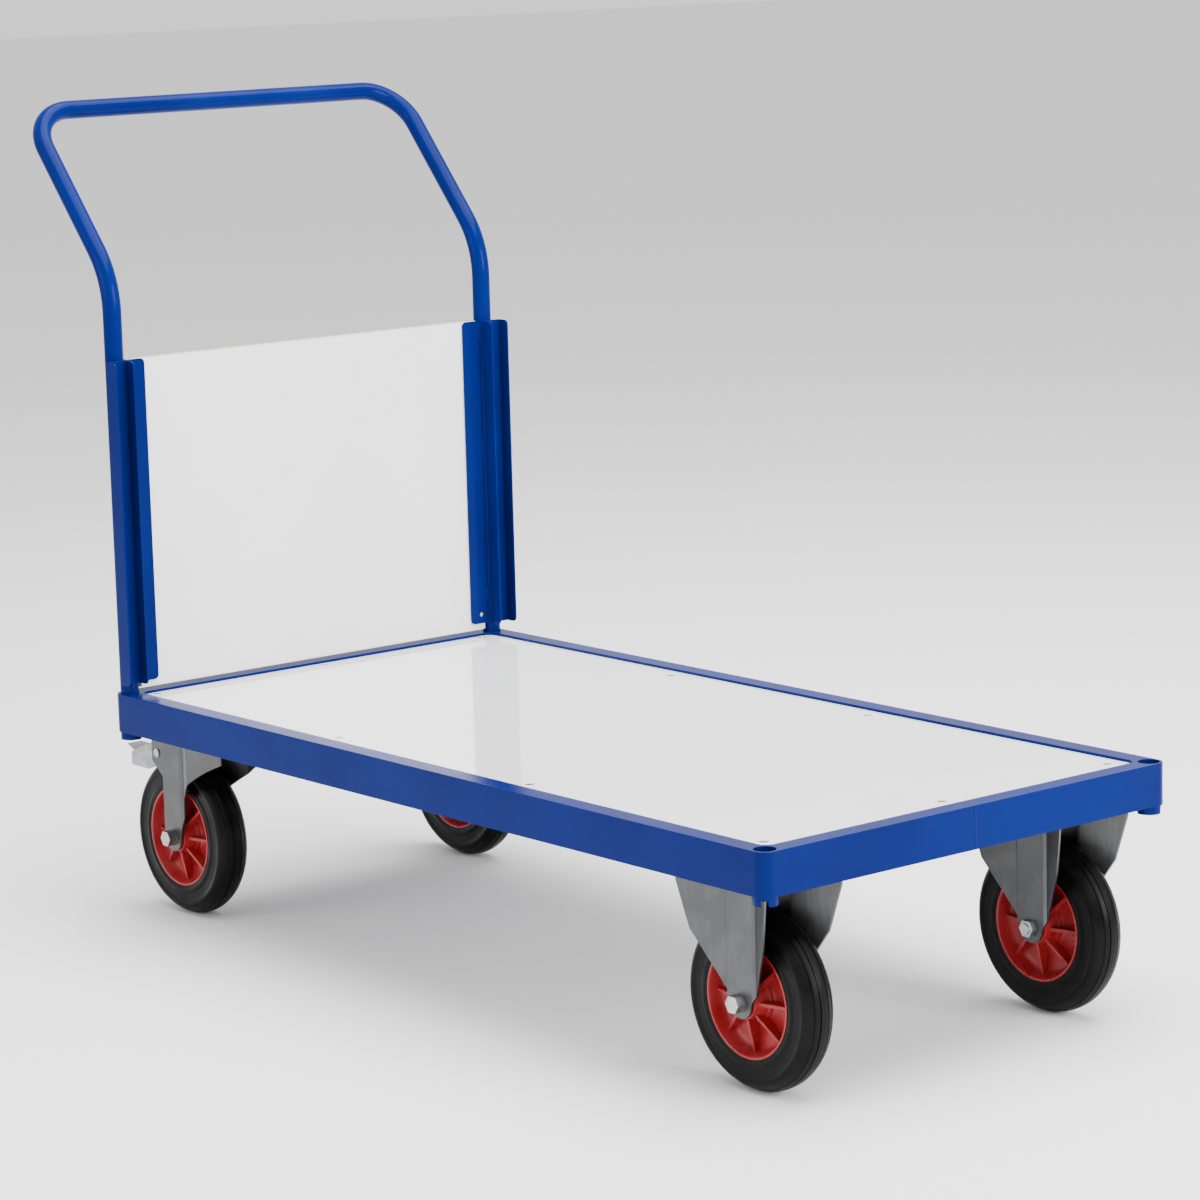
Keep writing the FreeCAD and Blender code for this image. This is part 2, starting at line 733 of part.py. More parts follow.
def build_brake_shoe():
    """Block under the pedal, hollowed so that it meets the tread evenly with the pedal down."""
    line = [(x, z - brake_sheet) for x, z in pedal_top_line()]
    (x1, z1), (x2, z2) = line[1], line[2]
    slope = (z2 - z1) / (x2 - x1)
    front = (shoe_front_x, line[0][1] + (line[1][1] - line[0][1]) * (shoe_front_x - line[0][0])
             / (line[1][0] - line[0][0]))
    rear = (shoe_rear_x, z1 + slope * (shoe_rear_x - x1))
    low = wheel_radius
    outline = [front, (x1, z1), rear, (shoe_rear_x, low), (shoe_front_x, low)]
    block = prism_xz(outline, -shoe_half_width, shoe_half_width)
    pivot = V(brake_pivot_x, -shoe_half_width, brake_pivot_height)
    worn = rod(wheel_radius + shoe_gap, V(0, -shoe_half_width, wheel_radius), 2 * shoe_half_width, Y_AXIS)
    worn.rotate(pivot, Y_AXIS, brake_travel)
    return block.cut(worn)


def build_brake_pivot():
    """Rivet through both ears of the fork."""
    start = V(brake_pivot_x, -fork_outer, brake_pivot_height)
    pin = rod(brake_pivot_diameter / 2, start, 2 * fork_outer, Y_AXIS)
    heads = [rod(brake_pivot_head / 2, V(start.x, fork_outer, start.z), brake_pivot_head_height, Y_AXIS),
             rod(brake_pivot_head / 2, start, brake_pivot_head_height, Y_AXIS * -1)]
    return fuse([pin] + heads)


# ---- push end ----

def handle_path():
    """Centre line of the bent handle tube, with its four bends as true arcs."""
    lean = math.radians(handle_lean)
    slope = V(-math.sin(lean), 0, math.cos(lean)) * handle_reach
    foot = V(-post_x, post_y, seat_top)
    knee = V(-post_x, post_y, bend_height)
    grip = knee + slope
    right = [V(p.x, -p.y, p.z) for p in (grip, knee, foot)]
    points = [foot, knee, grip] + right
    radii = [lean_bend_radius, grip_bend_radius, grip_bend_radius, lean_bend_radius]
    edges = []
    start = points[0]
    for before, corner, after, radius in zip(points, points[1:], points[2:], radii):
        into = (before - corner).normalize()
        out = (after - corner).normalize()
        angle = math.acos(into.dot(out))
        cut = radius / math.tan(angle / 2)
        middle = (into + out).normalize()
        centre = corner + middle * (radius / math.sin(angle / 2))
        first = corner + into * cut
        last = corner + out * cut
        edges.append(Part.makeLine(start, first))
        edges.append(Part.Arc(first, centre - middle * radius, last).toShape())
        start = last
    edges.append(Part.makeLine(start, points[-1]))
    return Part.Wire(edges)


def swept(path, radius):
    section = Part.Wire(Part.makeCircle(radius, V(-post_x, post_y, seat_top), Z_AXIS))
    return path.makePipeShell([section], True, False)


def build_handle_tube():
    path = handle_path()
    return swept(path, post_diameter / 2).cut(swept(path, post_diameter / 2 - post_wall))


def rounded_free_edge(reach_start, reach_end):
    """Outline of a flange whose free corners are rounded, as points of (reach, height)."""
    sign = 1 if reach_end > reach_start else -1
    r = channel_corner_radius
    steps = 6
    points = [(reach_start, channel_bottom)]
    for centre_z, first in ((channel_bottom + r, -90), (channel_top - r, 0)):
        for step in range(steps + 1):
            angle = math.radians(first + 90 * step / steps)
            out = reach_end - sign * r + sign * r * math.cos(angle)
            points.append((out, centre_z + r * math.sin(angle)))
    return points + [(reach_start, channel_top)]


def build_end_channel(side):
    """U-channel that holds the end panel; its web is welded to the inboard side of the post."""
    outer_y = post_y - post_diameter / 2
    inner_y = post_y - end_channel_reach
    half = end_channel_width / 2
    blank = box(-post_x - half, -post_x + half, inner_y, outer_y, channel_bottom, channel_top)
    inside = half - channel_sheet
    blank = blank.cut(box(-post_x - inside, -post_x + inside, inner_y - EXTRA, outer_y - channel_sheet,
                          channel_bottom - EXTRA, channel_top + EXTRA))
    outline = [V(-post_x - half, y, z) for y, z in rounded_free_edge(outer_y, inner_y)]
    trim = Part.Face(Part.makePolygon(outline + outline[:1])).extrude(V(2 * half, 0, 0))
    channel = blank.common(trim)
    hole_z = channel_bottom + panel_hole_rise
    hole_y = post_y - panel_hole_reach
    channel = channel.cut(rod(panel_hole_diameter / 2, V(-post_x, hole_y, hole_z), half + EXTRA, X_AXIS))
    for x, y, z in panel_screw_places():
        if y > 0:
            channel = channel.cut(rod(panel_screw_diameter / 2, V(x, y, z), half + EXTRA, X_AXIS * -1))
    return mirrored(channel, side)


def build_side_channel(side):
    """U-channel, open to the front, that takes the edge of a side panel."""
    back = -post_x + post_diameter / 2
    front = -post_x + side_channel_reach
    y0 = post_y - side_channel_inboard
    y1 = post_y + side_channel_outboard
    blank = box(back, front, y0, y1, channel_bottom, channel_top)
    blank = blank.cut(box(back + channel_sheet, front + EXTRA, y0 + channel_sheet, y1 - channel_sheet,
                          channel_bottom - EXTRA, channel_top + EXTRA))
    channel = blank.common(prism_xz(rounded_free_edge(back, front), y0, y1))
    return mirrored(channel, side)


def panel_screw_places():
    """Screw points on the rear flange of each end channel."""
    places = []
    for z in (channel_bottom + panel_hole_rise, channel_top - panel_hole_rise):
        for _, side in SIDES:
            places.append((-post_x, side * (post_y - panel_hole_reach), z))
    return places


def panel_screw(x, y, z):
    rear = x - end_channel_width / 2
    shank_length = (end_channel_width - panel_thickness) / 2 + panel_screw_bite
    shank = rod(panel_screw_diameter / 2, V(rear, y, z), shank_length, X_AXIS)
    head = rod(panel_screw_head / 2, V(rear, y, z), panel_screw_head_height, X_AXIS * -1)
    return shank.fuse(head).removeSplitter()


def build_end_panel():
    half_y = post_y - post_diameter / 2 - channel_sheet - panel_edge_clearance
    half = panel_thickness / 2
    panel = box(-post_x - half, -post_x + half, -half_y, half_y, platform_top + panel_gap, channel_top)
    for x, y, z in panel_screw_places():
        start = V(x - half - EXTRA, y, z)
        panel = panel.cut(rod(panel_screw_diameter / 2, start, panel_screw_bite + EXTRA, X_AXIS))
    return panel


# ---- write everything ----

def save_platform():
    save("perimeter_frame", build_perimeter_frame())
    rings = []
    for end_name, end in post_places():
        for side_name, side in SIDES:
            save(f"socket_{end_name}_{side_name}", build_socket(end, side))
            rings.append(build_seat_ring(end, side))
        save(f"castor_crossmember_{end_name}", build_castor_member(end))
    save("socket_seat_rings", *rings)
    for name, x in zip(("rear", "front"), deck_member_places):
        save(f"deck_crossmember_{name}", build_deck_member(x))
    save("deck_board", build_deck_board())
    save("deck_screws", *[deck_screw(x, y, 0.0) for x, y in deck_screw_places()])


def save_castors():
    places = castor_bolt_places(1) + castor_bolt_places(-1)
    save("castor_mounting_bolts", *[castor_bolt(x, y) for x, y in places])
    save("castor_mounting_nuts", *[castor_nut(x, y) for x, y in places])
    for name, build in (("bolts", build_axle_bolt), ("nuts", build_axle_nut),
                        ("sleeves", build_axle_sleeve)):
        save(f"fixed_axle_{name}", *[placed(build(), 1, side) for _, side in SIDES])
    for side_name, side in SIDES:
        save(f"fixed_fork_{side_name}", build_fixed_fork(side))
        save(f"swivel_plate_{side_name}", build_swivel_plate(side))
        save(f"king_pin_{side_name}", build_king_pin(side))
        save(f"swivel_fork_{side_name}", build_swivel_fork(side))
        save(f"ball_race_{side_name}", build_ball_race(side))
        save(f"swivel_axle_bolt_{side_name}", placed(build_axle_bolt(), -1, side))
        save(f"swivel_axle_nut_{side_name}", placed(build_axle_nut(), -1, side))
        save(f"swivel_axle_sleeve_{side_name}", placed(build_axle_sleeve(), -1, side))
        save(f"brake_pivot_{side_name}", placed(build_brake_pivot(), -1, side))
        save(f"brake_pedal_{side_name}", placed(build_brake_pedal(), -1, side))
        save(f"brake_shoe_{side_name}", placed(build_brake_shoe(), -1, side))


def save_wheels():
    for name, build in (("tyre", build_tyre), ("hub", build_hub), ("roller_bearing", build_roller_bearing)):
        shape = build()
        for end_name, end in post_places():
            for side_name, side in SIDES:
                save(f"{name}_{end_name}_{side_name}", placed(shape, end, side))


def save_push_end():
    save("handle_tube", build_handle_tube())
    save("end_panel", build_end_panel())
    save("panel_screws", *[panel_screw(*place) for place in panel_screw_places()])
    for side_name, side in SIDES:
        save(f"end_channel_{side_name}", build_end_channel(side))
        save(f"side_channel_{side_name}", build_side_channel(side))


os.makedirs("parts", exist_ok=True)
save_platform()
save_castors()
save_wheels()
save_push_end()
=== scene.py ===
# %% [markdown]
# # Platform trolley
# A warehouse trolley is bent sheet, tube, board and four castors. The CAD model already holds every
# part at its true size, so this file loads it as a fixed frame and gives each part the finish, the
# rounded edges and the small details that the real one has.

# %% Load the frame
import json
import math

import bmesh
import bpy
from mathutils import Matrix, Vector


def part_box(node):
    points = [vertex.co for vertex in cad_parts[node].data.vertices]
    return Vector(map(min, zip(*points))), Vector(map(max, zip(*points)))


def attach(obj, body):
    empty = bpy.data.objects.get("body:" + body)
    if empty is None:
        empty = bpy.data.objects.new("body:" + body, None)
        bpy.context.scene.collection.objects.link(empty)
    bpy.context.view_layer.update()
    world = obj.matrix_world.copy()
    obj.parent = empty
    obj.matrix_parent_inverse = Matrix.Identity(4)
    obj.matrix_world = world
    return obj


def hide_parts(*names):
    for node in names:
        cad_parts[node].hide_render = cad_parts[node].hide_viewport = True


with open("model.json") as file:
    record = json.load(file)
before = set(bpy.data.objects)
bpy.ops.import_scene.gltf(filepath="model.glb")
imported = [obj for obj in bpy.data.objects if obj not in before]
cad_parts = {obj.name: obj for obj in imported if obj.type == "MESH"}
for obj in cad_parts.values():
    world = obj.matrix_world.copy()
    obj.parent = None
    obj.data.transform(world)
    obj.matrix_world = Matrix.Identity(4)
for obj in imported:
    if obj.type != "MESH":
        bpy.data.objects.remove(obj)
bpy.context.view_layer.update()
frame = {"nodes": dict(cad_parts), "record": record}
nodes = frame["nodes"]
SIDES = ("left", "right")
ENDS = ("front", "rear")
MM = 0.001
POST_DIAMETER = 23.0 * MM

# %% [markdown]
# ## Shared surface effects
# The same few effects turn up on every finish: rubbed edges, fine grain, dust and scuffs. Each is a
# node group with named sockets, built once and placed in each material with its own numbers. A group
# gives out only masks and heights, so the shader itself always stays in the material.

# %% Node group helpers
def new_group(name, inputs, outputs):
    """Empty node group with float sockets; returns the group, its nodes and its two ends."""
    group = bpy.data.node_groups.new(name, "ShaderNodeTree")
    for label, value in inputs:
        socket = group.interface.new_socket(label, in_out="INPUT", socket_type="NodeSocketFloat")
        socket.default_value = value
    for label in outputs:
        group.interface.new_socket(label, in_out="OUTPUT", socket_type="NodeSocketFloat")
    return group, group.nodes.new("NodeGroupInput"), group.nodes.new("NodeGroupOutput")


def math_node(tree, operation, first, second=None, clamp=False):
    """One Math node whose inputs are sockets or plain numbers."""
    node = tree.nodes.new("ShaderNodeMath")
    node.operation = operation
    node.use_clamp = clamp
    for index, value in enumerate((first, second)):
        if isinstance(value, bpy.types.NodeSocket):
            tree.links.new(value, node.inputs[index])
        elif value is not None:
            node.inputs[index].default_value = value
    return node.outputs[0]


def spread(tree, value, low, high):
    """Stretches a 0 to 1 value so that low becomes 0 and high becomes 1."""
    node = tree.nodes.new("ShaderNodeMapRange")
    node.interpolation_type = "SMOOTHSTEP"
    node.inputs["From Min"].default_value = low
    node.inputs["From Max"].default_value = high
    tree.links.new(value, node.inputs["Value"])
    return node.outputs["Result"]


def noise(tree, place, scale, detail=3.0, roughness=0.55):
    """Noise on object coordinates; scale is a number per metre or a socket."""
    node = tree.nodes.new("ShaderNodeTexNoise")
    node.inputs["Detail"].default_value = detail
    node.inputs["Roughness"].default_value = roughness
    tree.links.new(place, node.inputs["Vector"])
    if isinstance(scale, bpy.types.NodeSocket):
        tree.links.new(scale, node.inputs["Scale"])
    else:
        node.inputs["Scale"].default_value = scale
    return node.outputs["Fac"]


def object_place(tree, stretch=(1.0, 1.0, 1.0)):
    """Object coordinates in metres, stretched along the axes where a pattern runs one way."""
    place = tree.nodes.new("ShaderNodeTexCoord").outputs["Object"]
    if stretch == (1.0, 1.0, 1.0):
        return place
    mapping = tree.nodes.new("ShaderNodeMapping")
    mapping.inputs["Scale"].default_value = stretch
    tree.links.new(place, mapping.inputs["Vector"])
    return mapping.outputs["Vector"]


# %% Rubbed edges
def build_edge_wear():
    """Mask that is 1 along sharp edges, broken up by noise."""
    group, start, end = new_group("edge_wear", [("Radius", 0.0012), ("Amount", 1.0), ("Break Up", 90.0)],
                                  ["Mask"])
    bevel = group.nodes.new("ShaderNodeBevel")
    bevel.samples = 4
    group.links.new(start.outputs["Radius"], bevel.inputs["Radius"])
    flat = group.nodes.new("ShaderNodeNewGeometry")
    dot = group.nodes.new("ShaderNodeVectorMath")
    dot.operation = "DOT_PRODUCT"
    group.links.new(bevel.outputs["Normal"], dot.inputs[0])
    group.links.new(flat.outputs["True Normal"], dot.inputs[1])
    away = math_node(group, "SUBTRACT", 1.0, dot.outputs["Value"])
    strong = math_node(group, "MULTIPLY", away, 5.0, clamp=True)
    patches = spread(group, noise(group, object_place(group), start.outputs["Break Up"]), 0.4, 0.7)
    mask = math_node(group, "MULTIPLY", strong, patches)
    mask = math_node(group, "MULTIPLY", mask, start.outputs["Amount"], clamp=True)
    group.links.new(mask, end.inputs["Mask"])
    return group


# %% Grain, dust and scuffs
def build_grain():
    """Two sizes of noise: Fine for bump, Patch for slow changes of shade."""
    group, start, end = new_group("grain", [("Fine Scale", 600.0), ("Patch Scale", 9.0)],
                                  ["Fine", "Patch"])
    place = object_place(group)
    group.links.new(noise(group, place, start.outputs["Fine Scale"], 2.0), end.inputs["Fine"])
    patch = spread(group, noise(group, place, start.outputs["Patch Scale"], 4.0), 0.3, 0.7)
    group.links.new(patch, end.inputs["Patch"])
    return group


def build_dust():
    """Mask of dust that settles on faces that look up, in soft drifts."""
    group, start, end = new_group("dust", [("Amount", 0.3), ("Drift Scale", 14.0)], ["Mask"])
    normal = group.nodes.new("ShaderNodeNewGeometry").outputs["Normal"]
    split = group.nodes.new("ShaderNodeSeparateXYZ")
    group.links.new(normal, split.inputs[0])
    upward = math_node(group, "MAXIMUM", split.outputs["Z"], 0.12)
    drifts = spread(group, noise(group, object_place(group), start.outputs["Drift Scale"], 6.0), 0.42, 0.75)
    mask = math_node(group, "MULTIPLY", upward, drifts)
    mask = math_node(group, "MULTIPLY", mask, start.outputs["Amount"], clamp=True)
    group.links.new(mask, end.inputs["Mask"])
    return group


def build_scuffs():
    """Mask of thin scratches that run several ways."""
    group, start, end = new_group("scuffs", [("Amount", 0.5), ("Scale", 26.0)], ["Mask"])
    total = None
    for turn, stretch in ((0.4, (1.0, 22.0, 6.0)), (1.9, (1.0, 30.0, 9.0)), (2.7, (24.0, 1.0, 8.0))):
        mapping = group.nodes.new("ShaderNodeMapping")
        mapping.inputs["Rotation"].default_value = (0.3 * turn, 0.2, turn)
        mapping.inputs["Scale"].default_value = stretch
        group.links.new(object_place(group), mapping.inputs["Vector"])
        line = spread(group, noise(group, mapping.outputs["Vector"], start.outputs["Scale"], 1.0), 0.71, 0.76)
        total = line if total is None else math_node(group, "MAXIMUM", total, line)
    mask = math_node(group, "MULTIPLY", total, start.outputs["Amount"], clamp=True)
    group.links.new(mask, end.inputs["Mask"])
    return group


EDGE_WEAR = build_edge_wear()
GRAIN = build_grain()
DUST = build_dust()
SCUFFS = build_scuffs()
print("node groups", [group.name for group in bpy.data.node_groups])

# %% [markdown]
# ## Finishes
# Each finish is one function. It starts from a Principled shader whose steady numbers sit on its own
# sockets; only what changes over the surface comes in through links. Scales are per metre, so grain
# and orange peel keep their real size.

# %% Material helpers
def start_material(name, metallic=0.0, **steady):
    """Material with a Principled shader and its constant sockets set."""
    material = bpy.data.materials.new(name)
    material.use_nodes = True
    shader = material.node_tree.nodes["Principled BSDF"]
    shader.inputs["Metallic"].default_value = metallic
    for label, value in steady.items():
        shader.inputs[label.replace("_", " ")].default_value = value
    return material, material.node_tree, shader


def effect(tree, group, **numbers):
    """Places a shared group in a material with its own numbers."""
    node = tree.nodes.new("ShaderNodeGroup")
    node.node_tree = group
    for label, value in numbers.items():
        node.inputs[label.replace("_", " ")].default_value = value
    return node.outputs


def mixed(tree, mask, first, second):
    """Colour that goes from first to second as the mask rises."""
    node = tree.nodes.new("ShaderNodeMix")
    node.data_type = "RGBA"
    tree.links.new(mask, node.inputs["Factor"])
    for label, value in (("A", first), ("B", second)):
        socket = [s for s in node.inputs if s.name == label and s.type == "RGBA"][0]
        if isinstance(value, bpy.types.NodeSocket):
            tree.links.new(value, socket)
        else:
            socket.default_value = (*value, 1.0)
    return [s for s in node.outputs if s.type == "RGBA"][0]


def between(tree, mask, low, high):
    """Number that goes from low to high as the mask rises."""
    node = tree.nodes.new("ShaderNodeMapRange")
    node.inputs["To Min"].default_value = low
    node.inputs["To Max"].default_value = high
    tree.links.new(mask, node.inputs["Value"])
    return node.outputs["Result"]


def raised(tree, shader, height, distance):
    """Bump of a real height in metres."""
    node = tree.nodes.new("ShaderNodeBump")
    node.inputs["Distance"].default_value = distance
    node.inputs["Strength"].default_value = 1.0
    tree.links.new(height, node.inputs["Height"])
    tree.links.new(node.outputs["Normal"], shader.inputs["Normal"])


# %% [markdown]
# ### Blue powder coat
# Powder coat flows out glossy but keeps a faint orange peel, a ripple a few millimetres wide. It rubs
# a little paler on edges.

# %% Blue powder coat
SEAM_HALF = 1.6 * MM
SEAM_BEYOND = 0.6


def seam_mask(tree):
    """Ripple of the dressed butt weld: a narrow line down the middle of the front rail."""
    split = tree.nodes.new("ShaderNodeSeparateXYZ")
    tree.links.new(object_place(tree), split.inputs[0])
    away = math_node(tree, "ABSOLUTE", split.outputs["Y"])
    line = math_node(tree, "SUBTRACT", 1.0, spread(tree, away, 0.2 * SEAM_HALF, SEAM_HALF))
    front = math_node(tree, "GREATER_THAN", split.outputs["X"], SEAM_BEYOND)
    ripple = spread(tree, noise(tree, object_place(tree), 420.0, 1.0), 0.1, 0.6)
    return math_node(tree, "MULTIPLY", math_node(tree, "MULTIPLY", line, front), ripple)


def build_blue_coat(name, seam):
    material, tree, shader = start_material(name, Coat_Weight=0.02, Coat_Roughness=0.05,
                                            Specular_IOR_Level=0.05)
    grain = effect(tree, GRAIN, Fine_Scale=330.0, Patch_Scale=5.0)
    wear = effect(tree, EDGE_WEAR, Radius=0.0014, Amount=0.35, Break_Up=70.0)["Mask"]
    dust = effect(tree, DUST, Amount=0.06, Drift_Scale=11.0)["Mask"]
    colour = mixed(tree, grain["Patch"], (0.0001, 0.0060, 0.092), (0.0001, 0.0085, 0.116))
    colour = mixed(tree, wear, colour, (0.003, 0.030, 0.18))
    colour = mixed(tree, dust, colour, (0.10, 0.13, 0.20))
    height = grain["Fine"]
    if seam:
        line = seam_mask(tree)
        colour = mixed(tree, math_node(tree, "MULTIPLY", line, 0.45), colour, (0.0001, 0.003, 0.035))
        height = math_node(tree, "ADD", height, math_node(tree, "MULTIPLY", line, 6.0))
    tree.links.new(colour, shader.inputs["Base Color"])
    rough = between(tree, grain["Patch"], 0.17, 0.26)
    tree.links.new(rough, shader.inputs["Roughness"])
    raised(tree, shader, height, 0.00005)
    return material


# %% [markdown]
# ### Deck laminate and panel
# The deck is a hard white laminate, so glossy that the posts mirror in it, with hairline scuffs that
# show mostly in the shine. The end panel is the same board with a matt face and bare edges.

# %% Boards
def build_deck_laminate():
    material, tree, shader = start_material("white_deck_laminate", Coat_Weight=0.35, Coat_Roughness=0.03,
                                            Specular_IOR_Level=0.62)
    grain = effect(tree, GRAIN, Fine_Scale=900.0, Patch_Scale=3.0)
    scuffs = effect(tree, SCUFFS, Amount=0.5, Scale=13.0)["Mask"]
    dust = effect(tree, DUST, Amount=0.10, Drift_Scale=7.0)["Mask"]
    colour = mixed(tree, grain["Patch"], (0.83, 0.835, 0.835), (0.87, 0.87, 0.865))
    colour = mixed(tree, scuffs, colour, (0.70, 0.70, 0.69))
    colour = mixed(tree, dust, colour, (0.62, 0.61, 0.58))
    tree.links.new(colour, shader.inputs["Base Color"])
    polish = between(tree, grain["Patch"], 0.045, 0.085)
    scratched = math_node(tree, "MULTIPLY", scuffs, 0.3)
    tree.links.new(math_node(tree, "ADD", polish, scratched), shader.inputs["Roughness"])
    raised(tree, shader, grain["Fine"], 0.000004)
    return material


def build_panel_laminate():
    material, tree, shader = start_material("white_panel_laminate", Specular_IOR_Level=0.35)
    grain = effect(tree, GRAIN, Fine_Scale=1100.0, Patch_Scale=4.0)
    scuffs = effect(tree, SCUFFS, Amount=0.35, Scale=15.0)["Mask"]
    colour = mixed(tree, grain["Patch"], (0.79, 0.79, 0.785), (0.83, 0.83, 0.825))
    colour = mixed(tree, scuffs, colour, (0.66, 0.66, 0.65))
    tree.links.new(colour, shader.inputs["Base Color"])
    tree.links.new(between(tree, grain["Patch"], 0.42, 0.56), shader.inputs["Roughness"])
    raised(tree, shader, grain["Fine"], 0.00002)
    return material


def build_board_edge():
    """Bare chipboard edge: pale tan chips pressed in layers."""
    material, tree, shader = start_material("bare_board_edge", Specular_IOR_Level=0.2)
    chips = noise(tree, object_place(tree, (1.0, 1.0, 3.0)), 420.0, 4.0)
    colour = mixed(tree, spread(tree, chips, 0.3, 0.7), (0.46, 0.36, 0.24), (0.72, 0.63, 0.50))
    tree.links.new(colour, shader.inputs["Base Color"])
    tree.links.new(between(tree, chips, 0.7, 0.95), shader.inputs["Roughness"])
    raised(tree, shader, chips, 0.0002)
    return material


# %% [markdown]
# ### Zinc
# The forks are dull plated sheet with a cloudy grey bloom and drawing marks from the press. Bolts and
# the pedal are brighter. The three share a recipe and differ in shade, roughness and marks.

# %% Zinc finishes
def build_zinc(name, dark, light, rough_low, rough_high, stretch, wear_amount):
    material, tree, shader = start_material(name, metallic=1.0)
    grain = effect(tree, GRAIN, Fine_Scale=1500.0, Patch_Scale=28.0)
    wear = effect(tree, EDGE_WEAR, Radius=0.001, Amount=wear_amount, Break_Up=120.0)["Mask"]
    scuffs = effect(tree, SCUFFS, Amount=0.6, Scale=60.0)["Mask"]
    drawn = noise(tree, object_place(tree, stretch), 40.0, 3.0)
    cloud = math_node(tree, "MULTIPLY", grain["Patch"], drawn)
    colour = mixed(tree, spread(tree, cloud, 0.1, 0.5), dark, light)
    colour = mixed(tree, wear, colour, tuple(1.3 * value for value in light))
    tree.links.new(colour, shader.inputs["Base Color"])
    rough = between(tree, grain["Patch"], rough_low, rough_high)
    shine = math_node(tree, "MULTIPLY", scuffs, -0.12)
    tree.links.new(math_node(tree, "ADD", rough, shine, clamp=True), shader.inputs["Roughness"])
    height = math_node(tree, "ADD", grain["Fine"], drawn)
    raised(tree, shader, height, 0.000012)
    return material


# %% [markdown]
# ### Wheel plastics and rubber
# The hubs are red moulded plastic with a soft sheen and slightly uneven colour. The tyres are solid
# black rubber: dull, with grey scuffing and a little dust.

# %% Plastics and rubber
def build_red_plastic():
    material, tree, shader = start_material("red_moulded_plastic", Specular_IOR_Level=0.35)
    grain = effect(tree, GRAIN, Fine_Scale=700.0, Patch_Scale=35.0)
    wear = effect(tree, EDGE_WEAR, Radius=0.0012, Amount=0.5, Break_Up=160.0)["Mask"]
    dust = effect(tree, DUST, Amount=0.25, Drift_Scale=40.0)["Mask"]
    colour = mixed(tree, grain["Patch"], (0.24, 0.008, 0.011), (0.31, 0.013, 0.016))
    colour = mixed(tree, wear, colour, (0.42, 0.06, 0.06))
    colour = mixed(tree, dust, colour, (0.24, 0.10, 0.09))
    tree.links.new(colour, shader.inputs["Base Color"])
    tree.links.new(between(tree, grain["Patch"], 0.26, 0.42), shader.inputs["Roughness"])
    raised(tree, shader, grain["Fine"], 0.00004)
    return material


def build_rubber(name, shade, scuff_amount):
    material, tree, shader = start_material(name, Specular_IOR_Level=0.1)
    grain = effect(tree, GRAIN, Fine_Scale=900.0, Patch_Scale=30.0)
    scuffs = effect(tree, SCUFFS, Amount=scuff_amount, Scale=45.0)["Mask"]
    dust = effect(tree, DUST, Amount=0.07, Drift_Scale=30.0)["Mask"]
    pale = tuple(1.9 * value for value in shade)
    colour = mixed(tree, grain["Patch"], shade, pale)
    colour = mixed(tree, scuffs, colour, (0.014, 0.014, 0.0145))
    colour = mixed(tree, dust, colour, (0.06, 0.058, 0.056))
    tree.links.new(colour, shader.inputs["Base Color"])
    tree.links.new(between(tree, grain["Patch"], 0.30, 0.48), shader.inputs["Roughness"])
    raised(tree, shader, grain["Fine"], 0.00008)
    return material


def build_cage_plastic():
    material, tree, shader = start_material("bearing_cage_plastic", Specular_IOR_Level=0.4)
    grain = effect(tree, GRAIN, Fine_Scale=1200.0, Patch_Scale=60.0)
    colour = mixed(tree, grain["Patch"], (0.09, 0.09, 0.09), (0.14, 0.14, 0.135))
    tree.links.new(colour, shader.inputs["Base Color"])
    tree.links.new(between(tree, grain["Patch"], 0.45, 0.6), shader.inputs["Roughness"])
    raised(tree, shader, grain["Fine"], 0.00004)
    return material


# %% Make every finish
BLUE = build_blue_coat("blue_powder_coat", False)
FRAME_BLUE = build_blue_coat("blue_powder_coat_frame", True)
DECK_WHITE = build_deck_laminate()
PANEL_WHITE = build_panel_laminate()
BOARD_EDGE = build_board_edge()
GREY_ZINC = build_zinc("grey_fork_zinc", (0.086, 0.087, 0.089), (0.108, 0.110, 0.112), 0.38, 0.47,
                       (6.0, 6.0, 1.0), 0.4)
BRIGHT_ZINC = build_zinc("bright_bolt_zinc", (0.34, 0.345, 0.35), (0.48, 0.485, 0.49), 0.28, 0.40,
                         (3.0, 3.0, 3.0), 0.3)
PEDAL_ZINC = build_zinc("pedal_zinc", (0.24, 0.25, 0.255), (0.36, 0.37, 0.38), 0.22, 0.38,
                        (1.0, 16.0, 16.0), 0.4)
RED = build_red_plastic()
TYRE_BLACK = build_rubber("tyre_rubber", (0.0016, 0.0016, 0.0017), 0.4)
BLOCK_BLACK = build_rubber("brake_block_rubber", (0.016, 0.016, 0.017), 0.3)
CAGE = build_cage_plastic()
FINISH = {"blue_paint": BLUE, "white_deck": DECK_WHITE, "white_panel": PANEL_WHITE,
          "grey_zinc": GREY_ZINC, "bright_zinc": BRIGHT_ZINC, "pedal_zinc": PEDAL_ZINC,
          "red_plastic": RED, "black_rubber": TYRE_BLACK, "bearing_cage": CAGE,
          "brake_rubber": BLOCK_BLACK}
print("finishes", len(FINISH))

# %% [markdown]
# ## Rounded sheet and turned metal
# Every bent, cut or turned part has a small radius on its edges, and the light catches it. The CAD
# part's own mesh stays as it is, so a copy is merged, its flat triangles are joined into whole faces,
# and the sharp edges are bevelled. The copy then stands for the CAD part.

# %% Finishing helpers
SLOT_OF = {}
for part in frame["record"]["subparts"]:
    SLOT_OF[part["node"]] = part["material_slot"]
BODY_OF = {}
for body_name, members in frame["record"]["behaviour"]["bodies"].items():
    for member in members:
        BODY_OF[member] = body_name


